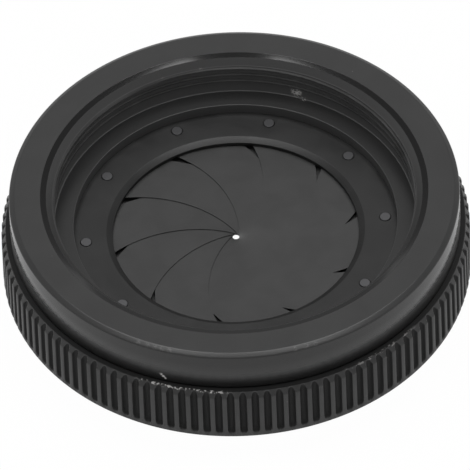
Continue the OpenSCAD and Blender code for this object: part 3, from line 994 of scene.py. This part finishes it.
@dataclass
class HousingHead(SubAssembly):
    """The threaded head with its step, plate seat, leaf chamber and slotted sleeve."""

    head_r: float = 26.02
    head_h: float = 5.2
    chamfer_w: float = 0.6
    chamfer_h: float = 0.33
    foot_chamfer: float = 0.15
    lip_drop: float = 0.15
    lead_in: float = 0.9
    crest_r: float = 20.79
    thread_drop: float = 0.45
    chamber_r: float = 21.252
    drive_bore_r: float = 21.752
    sleeve_r: float = 23.402
    slot_half: float = 0.75
    slot_turn: float = 95.54
    screw_bore: float = 0.61
    screw_depth: float = 2.4

    def build(self) -> None:
        """Make the housing and its front thread."""
        foot, top = span_of("front_housing")
        seat = span_of("pivot_plate")[1]
        neck, chamber_foot = top - self.head_h, PEG_Z + 1.0
        body = spin("front_housing_body", rounded([
            (self.head_r - self.chamfer_w, top, 0.24), (self.head_r, top - self.chamfer_h, 0.3),
            (self.head_r, neck + self.foot_chamfer, 0), (self.head_r - self.foot_chamfer, neck, 0),
            (self.sleeve_r, neck, 0), (self.sleeve_r, foot, 0),
            (self.drive_bore_r, foot, 0), (self.drive_bore_r, chamber_foot, 0),
            (self.chamber_r, chamber_foot, 0), (self.chamber_r, seat, 0),
            (STEP_R, seat, 0.04), (STEP_R, top - STEP_DEPTH, 0.06),
            (THREAD_R, top - STEP_DEPTH, 0.14), (THREAD_R, top - self.lead_in, 0.08),
            (LIP_R - LIP_W, top - self.lip_drop, 0), (LIP_R, top, 0.06),
        ]))
        cutters = [self.arc_cutter(start) for start in (0.0, 180.0)]
        cutters += [bar("screw_cutter", self.screw_bore, at_angle(SCREW_R, a, foot - 1),
                        at_angle(SCREW_R, a, foot + self.screw_depth)) for a in SCREW_ANGLES]
        self.fit(carve(body, cutters), "housing", Black.HOUSING, "front_housing")
        self.fit(self.front_thread(top), "housing", Black.THREAD)

    def arc_cutter(self, start: float, end_cells: int = 8, cells: int = 60) -> Shape:
        """The slot that one peg travels in.

        Args:
            start: Direction of the peg when the leaves are closed, in degrees.
            end_cells: Steps along half of each round end.
            cells: Steps between the round ends.

        Returns:
            A closed cutter.
        """
        first, last = math.radians(start), math.radians(start + self.slot_turn)
        leans = [math.pi / 2 * i / end_cells for i in range(end_cells + 1)]
        past, half = ([self.slot_half * f(t) for t in leans] for f in (math.cos, math.sin))
        spans = [(first - p / self.sleeve_r, h) for p, h in zip(past, half)]
        spans += [(first + (last - first) * i / cells, self.slot_half) for i in range(1, cells)]
        spans += [(last + p / self.sleeve_r, h) for p, h in zip(past[::-1], half[::-1])]
        inner, outer = self.chamber_r - 1, self.sleeve_r + 0.05
        return loft("arc_cutter", [[(r * math.cos(a), r * math.sin(a), PEG_Z + side * h)
                                    for r, side in ((inner, -1), (outer, -1), (outer, 1), (inner, 1))]
                                   for a, h in spans], weld=True)

    def front_thread(self, top: float) -> Shape:
        """The front thread's ridge, trimmed by its lead-in chamfer, under a front face at a height."""
        slope = (LIP_R - LIP_W - THREAD_R) / (self.lead_in - self.lip_drop)

        def cone(z: float) -> float:
            """Radius of the lead-in chamfer at a height."""
            return THREAD_R + (self.lead_in - (top - z)) * slope

        thread = ThreadForm(THREAD_R, self.crest_r, start_z=top - self.thread_drop, start_angle=10.0,
                            turns=3.4, sink=0.7, lead_in=cone)
        return thread.build("front_thread")


@dataclass
class PivotPlate(SubAssembly):
    """The bevelled plate that the leaves hinge on, with its two dowels."""

    bore_r: float = 14.25
    bevel_w: float = 0.7
    bevel_h: float = 0.4
    rim_r: float = 21.23
    hole_r: float = 0.7
    dowel_circle_r: float = 19.975
    dowel_r: float = 0.6
    dowel_edge: float = 0.1
    dowel_angles: tuple[float, ...] = (21.4, 201.4)

    def build(self) -> None:
        """Make the plate and the dowels."""
        foot, top = span_of("pivot_plate")
        plate = spin("pivot_plate_body", rounded([
            (self.bore_r, foot, 0.02), (self.rim_r, foot, 0), (self.rim_r, top, 0),
            (self.bore_r + self.bevel_w, top, 0.06), (self.bore_r, top - self.bevel_h, 0.03)]))
        carve(plate, [bar("hole_cutter", self.hole_r, at_angle(PIVOT_R, a, foot - 1),
                          at_angle(PIVOT_R, a, top + 1))
                      for a in PIVOT_ANGLES])
        self.fit(plate, "housing", Black.PLATE, "pivot_plate")
        low, high = span_of("plate_dowels")
        edge, face_r = self.dowel_edge, self.dowel_r - self.dowel_edge
        outline = [(0, low), (face_r, low), (self.dowel_r, low + edge), (self.dowel_r, high - edge),
                   (face_r, high), (0, high)]
        dowels = [turned_pin("dowel", outline, at_angle(self.dowel_circle_r, a)) for a in self.dowel_angles]
        self.fit(joined("plate_dowels_pair", dowels), "housing", Steel.PLAIN, "plate_dowels")


@dataclass
class LeafStack(SubAssembly):
    """Ten crescent leaves that lap over each other all the way round, each with its two pins."""

    inner_r: float = 14.43
    width: float = 6.17
    thick: float = 0.06
    throw: float = 14.05
    turn: float = 47.7696
    drive_angle: float = 133.0
    drive_r: float = 18.2
    axis_climb: float = 0.085
    centre_climb: float = 0.05
    level: float = 8.8126
    shank_r: float = 0.35
    seat_gap: float = 0.01
    pivot_tip: tuple[Point2, ...] = ((0.65, 0.1), (0.63, 0.04), (0.58, 0.0))
    drive_pin_r: float = 0.45
    drive_chamfer: float = 0.08
    along: int = 60
    along_crowding: float = 0.225
    cap_cells: int = 10
    across: int = 10
    across_crowding: float = 2.4

    def __post_init__(self) -> None:
        """Work out the leaf's layout: pivot on +X, the leaf running clockwise to its drive pin."""
        self.near = 90 - self.turn / 2
        self.centre = at_angle(self.throw, self.near)
        back = Vector((PIVOT_R, 0, 0)) - self.centre
        self.start = math.degrees(math.atan2(back.y, back.x))
        self.middle_r = self.inner_r + self.width / 2
        self.cap = math.degrees(math.asin(self.width / 2 / self.middle_r))

    def build(self) -> None:
        """Make every leaf and its pins."""
        for n, direction in enumerate(PIVOT_ANGLES, 1):
            turn = Matrix.Rotation(math.radians(direction), 4, "Z")
            leaf, pins = self.sheet(f"leaf_sheet_{n:02d}"), self.pins(f"leaf_pins_{n:02d}")
            leaf.data.transform(turn)
            pins.data.transform(turn)
            self.fit(leaf, f"leaf_{n:02d}", Black.LEAF, f"blade_{n:02d}", sharp=40)
            self.fit(pins, f"leaf_{n:02d}", Steel.PIN, f"blade_pins_{n:02d}")

    def edges(self, s: float) -> Point2:
        """Inner and outer radius of the leaf about its own centre, at an angle s from its pivot."""
        over = s if s < 0 else s - self.drive_angle if s > self.drive_angle else 0
        if over == 0:
            return self.inner_r, self.inner_r + self.width
        lean = math.radians(abs(over))
        reach = math.sqrt(max(0.0, (self.width / 2) ** 2 - (self.middle_r * math.sin(lean)) ** 2))
        return self.middle_r * math.cos(lean) - reach, self.middle_r * math.cos(lean) + reach

    def height(self, x: float, y: float, s: float) -> float:
        """Height of the sheet's middle at a point of the leaf."""
        clockwise = -math.degrees(math.atan2(y, x))
        if clockwise < -60:
            clockwise += 360
        return self.level - (self.axis_climb * clockwise + self.centre_climb * s) * LEAF_COUNT / 360

    def stations(self) -> list[float]:
        """Angles of the rows of points along the leaf, closer where it passes the optical axis."""
        def crowd(t: float) -> float:
            """Share of the way from the axis for an even share t."""
            return (t - self.along_crowding * math.tanh(4 * t)) / (1 - self.along_crowding * math.tanh(4))

        caps = [self.cap * 0.9995 * math.sin(math.pi / 2 * i / self.cap_cells)
                for i in range(1, self.cap_cells + 1)]
        before = [self.near * (1 - crowd(i / self.along)) for i in range(self.along, 0, -1)]
        after = [self.near + (self.drive_angle - self.near) * crowd(i / self.along)
                 for i in range(self.along + 1)]
        return [-c for c in reversed(caps)] + before + after + [self.drive_angle + c for c in caps]

    def sheet(self, name: str) -> Shape:
        """Sweep one leaf as a thin closed sheet, in its own layout."""
        rows = [math.expm1(self.across_crowding * j / self.across) / math.expm1(self.across_crowding)
                for j in range(self.across + 1)]
        sections = []
        for s in self.stations():
            low, high = self.edges(s)
            angle = math.radians(self.start - s)
            spots = [(self.centre.x + r * math.cos(angle), self.centre.y + r * math.sin(angle))
                     for r in (low + (high - low) * t for t in rows)]
            upper, under = ([(x, y, self.height(x, y, s) + side * self.thick) for x, y in spots]
                            for side in (0.5, -0.5))
            sections.append(upper + under[::-1])
        return loft(name, sections)

    def pins(self, name: str) -> Shape:
        """The pivot pin, which stands up through the plate, and the drive pin, which hangs in its cam slot.

        Args:
            name: Name of the joined object.

        Returns:
            Both pins, in the leaf's own layout.
        """
        foot, top = span_of("blade_pins_01")
        seat, rivet, shank = self.thick / 2 + self.seat_gap, self.thick / 4, self.shank_r
        pivot = turned_pin("pivot_pin", [
            (0, self.level - rivet), (shank, self.level - rivet), (shank, self.level + seat),
            (self.pivot_tip[0][0], self.level + seat), *((r, top - drop) for r, drop in self.pivot_tip),
            (0, top)], (PIVOT_R, 0))
        at = self.centre + at_angle(self.drive_r, self.start - self.drive_angle)
        under = self.height(at.x, at.y, self.drive_angle)
        drive = turned_pin("drive_pin", [
            (0, foot), (self.drive_pin_r - self.drive_chamfer, foot),
            (self.drive_pin_r, foot + self.drive_chamfer),
            (self.drive_pin_r, under - seat), (shank, under - seat), (shank, under + rivet),
            (0, under + rivet)], at)
        return joined(name, [pivot, drive])


@dataclass
class DriveRing(SubAssembly):
    """The slotted ring under the leaves, its two pegs and the wave spring below it."""

    bore_r: float = 14.295
    rim_r: float = 21.7
    rim_start_r: float = 19.3
    web_foot: float = 6.8
    slot_half: float = 0.8554
    slot_from: float = 15.609
    slot_to: float = 18.2
    slot_dir: float = -227.42
    peg_r: float = 0.6
    peg_in: float = 19.9
    peg_out: float = 24.9
    spring_in: float = 19.45
    spring_out: float = 21.35
    spring_t: float = 0.15
    waves: int = 4

    def build(self) -> None:
        """Make the ring, the pegs and the spring."""
        foot, top = span_of("drive_ring")
        ring = spin("drive_ring_body", rounded([
            (self.bore_r, self.web_foot, 0.08), (self.rim_start_r, self.web_foot, 0),
            (self.rim_start_r, foot, 0.05),
            (self.rim_r, foot, 0.05), (self.rim_r, top, 0.05), (self.bore_r, top, 0.05)]))
        carve(ring, [self.slot_cutter(a + self.slot_dir, foot - 1, top + 1) for a in PIVOT_ANGLES])
        self.fit(ring, "control_ring", Black.RING, "drive_ring")
        pegs = [bar("peg", self.peg_r, Vector((side * self.peg_in, 0, PEG_Z)),
                    Vector((side * self.peg_out, 0, PEG_Z)))
                for side in (1, -1)]
        self.fit(joined("drive_pegs_pair", pegs), "control_ring", Steel.PLAIN, "drive_pegs")
        self.fit(self.spring(), "housing", Steel.SPRING, "wave_spring")

    def slot_cutter(self, direction: float, low: float, high: float, cells: int = 20) -> Shape:
        """A straight radial slot with round ends.

        Args:
            direction: Its direction in degrees.
            low: Its lower height.
            high: Its upper height.
            cells: Steps along each round end.

        Returns:
            A closed cutter.
        """
        loop = [(middle + self.slot_half * math.cos(a), self.slot_half * math.sin(a))
                for middle, lean in ((self.slot_from, 90), (self.slot_to, -90))
                for a in (math.radians(lean + 180 * i / cells) for i in range(cells + 1))]
        turn = Matrix.Rotation(math.radians(direction), 4, "Z")
        return loft("slot_cutter", [[turn @ Vector((x, y, z)) for x, y in loop] for z in (low, high)])

    def spring(self) -> Shape:
        """The wave spring: a flat strip ring that waves up and down."""
        low, high = span_of("wave_spring")
        middle, swing, half = (low + high) / 2, (high - low - self.spring_t) / 2, self.spring_t / 2

        def section(angle: float) -> list[Point2]:
            """The strip's outline at an angle."""
            z = middle + swing * math.cos(self.waves * angle)
            return [(self.spring_in, z - half), (self.spring_out, z - half),
                    (self.spring_out, z + half), (self.spring_in, z + half)]

        return spin("wave_spring_strip", section, 240)


@dataclass
class GripRing(SubAssembly):
    """The knurled ring that the fingers turn."""

    bore_r: float = 23.502
    counterbore_r: float = 24.702
    shelf_z: float = 4.5
    flutes: int = 120
    flute_depth: float = 0.5
    flute_r: float = 0.38
    crown: float = 0.16
    foot_round: float = 1.2
    run_out_from: float = 1.8
    run_out_to: float = 1.15
    run_out_share: float = 0.75
    cells: int = 16
    bite: float = 0.02
    bore_edge: float = 0.06
    foot_edge: float = 0.05

    def surface(self, angle: float, limit: float, above: float) -> float:
        """Radius of the knurl at an angle, held inside a limit.

        Args:
            angle: Direction in radians.
            limit: Radius of the chamfer, of the rounding or of the lands, at that height.
            above: Height above the ring's foot, where the flutes run out.

        Returns:
            The radius.
        """
        pitch = TURN / self.flutes
        share = (angle / pitch + 0.5) % 1 - 0.5
        off = share * pitch * GRIP_R
        land = min(limit, GRIP_R - self.crown * (1 - 2 * abs(share)) ** 2)
        run = min(1.0, max(0.0, (self.run_out_from - above) / (self.run_out_from - self.run_out_to)))
        centre = GRIP_R - self.flute_depth * (1 - self.run_out_share * run * run) + self.flute_r
        flute = centre - math.sqrt(self.flute_r ** 2 - off ** 2) if abs(off) < self.flute_r else GRIP_R + 1
        gap = (flute - land) / self.bite
        if abs(gap) > 30:
            return min(land, flute)
        return land - self.bite * math.log(1 + math.exp(-gap))

    def limits(self, foot: float, top: float) -> list[Point2]:
        """The outer profile of the lands from the foot to the top edge, as (radius, height)."""
        centre_r, centre_z = GRIP_R - self.foot_round, foot + self.foot_round
        arc = [(centre_r + self.foot_round * math.sin(a), centre_z - self.foot_round * math.cos(a))
               for a in (math.pi / 2 * i / 12 for i in range(13))]
        plain = [(GRIP_R, foot + h) for h in (1.3, 1.4, 1.5, 1.6, 1.7, 1.8, 2.0)]
        slope = [(GRIP_R - GRIP_CHAMFER_W * i / 14, top - GRIP_CHAMFER_H * (1 - i / 14)) for i in range(15)]
        return arc + plain + slope

    def build(self) -> None:
        """Make the ring."""
        foot, top = span_of("knurled_ring")
        profile = self.limits(foot, top)
        inside = [(GRIP_R - self.foot_round - 0.02, top), (self.bore_r + self.bore_edge, top),
                  (self.bore_r, top - self.bore_edge), (self.bore_r, self.shelf_z),
                  (self.counterbore_r, self.shelf_z),
                  (self.counterbore_r, foot + self.foot_edge), (self.counterbore_r + self.foot_edge, foot)]

        def section(angle: float) -> list[Point2]:
            """The ring's outline at an angle."""
            return [(self.surface(angle, limit, z - foot), z) for limit, z in profile] + inside

        self.fit(spin("grip_ring", section, self.flutes * self.cells), "control_ring", Black.GRIP,
                 "knurled_ring", sharp=38)


@dataclass
class RearCover(SubAssembly):
    """The cover that closes the housing, with the rear thread and its four screws."""

    bore_r: float = 18.9
    register_r: float = 21.73
    flange_r: float = 24.6
    flange_foot: float = 3.25
    flange_top: float = 4.45
    crest_r: float = 20.97
    core_r: float = 20.42
    undercut_r: float = 20.35
    undercut_w: float = 0.8
    chamfer: float = 0.5
    head_r: float = 1.05
    head_h: float = 0.65
    sink_gap: float = 0.05
    shank_r: float = 0.6
    slot_w: float = 0.3
    slot_depth: float = 0.28

    def build(self) -> None:
        """Make the cover, its thread and the screws."""
        flange, groove = self.flange_foot, self.flange_foot - self.undercut_w
        top = span_of("rear_cover")[1]
        cover = spin("rear_cover_body", rounded([
            (self.bore_r, top, 0.03), (self.register_r, top, 0.03), (self.register_r, self.flange_top, 0),
            (self.flange_r, self.flange_top, 0.04), (self.flange_r, flange, 0.08),
            (self.undercut_r, flange, 0.05),
            (self.undercut_r, groove, 0), (self.core_r, groove, 0), (self.core_r, 0, 0.05),
            (self.bore_r + self.chamfer, 0, 0.05), (self.bore_r, self.chamfer, 0.05)]))
        seat = flange + self.head_h + self.sink_gap
        carve(cover, [bar("sink_cutter", self.head_r + self.sink_gap, at_angle(SCREW_R, a, flange - 1),
                          at_angle(SCREW_R, a, seat)) for a in SCREW_ANGLES])
        self.fit(cover, "housing", Black.HOUSING, "rear_cover")
        thread = ThreadForm(self.core_r, self.crest_r, start_z=groove - 0.1, start_angle=40.0, turns=2.1,
                            sink=0.3)
        self.fit(thread.build("rear_thread"), "housing", Black.HOUSING)
        screws = [self.screw(at_angle(SCREW_R, a), seat) for a in SCREW_ANGLES]
        self.fit(joined("cover_screws_set", screws), "housing", Steel.SCREW, "cover_screws")

    def screw(self, at: Vector, seat: float) -> Shape:
        """One cheese-head screw.

        Args:
            at: Place of its axis.
            seat: Height of the face that its head bears on.

        Returns:
            The screw with its driver slot.
        """
        foot, tip, half = seat - self.head_h, span_of("cover_screws")[1], self.slot_w / 2
        shape = turned_pin("screw", [(0, foot), (self.head_r - 0.12, foot), (self.head_r - 0.03, foot + 0.04),
                                     (self.head_r, foot + 0.12), (self.head_r, seat), (self.shank_r, seat),
                                     (self.shank_r, tip), (0, tip)], at)
        loops = [[(at.x + x, at.y + y, z) for x, y in ((-2, -half), (2, -half), (2, half), (-2, half))]
                 for z in (foot - 0.3, foot + self.slot_depth)]
        return carve(shape, [loft("slot_cutter", loops)])


def main() -> None:
    """Build the camera, the stage and every sub-assembly in order."""
    logging.basicConfig(level=logging.INFO, format="%(message)s")
    Viewpoint().place(span_of("front_housing")[1])
    Studio().build()
    parts: list[SubAssembly] = [HousingHead(), PivotPlate(), LeafStack(), DriveRing(), GripRing(),
                                RearCover()]
    for part in parts:
        part.build()
        LOG.info("%s: %s", type(part).__name__, ", ".join(part.made))


if __name__ == "__main__":
    main()
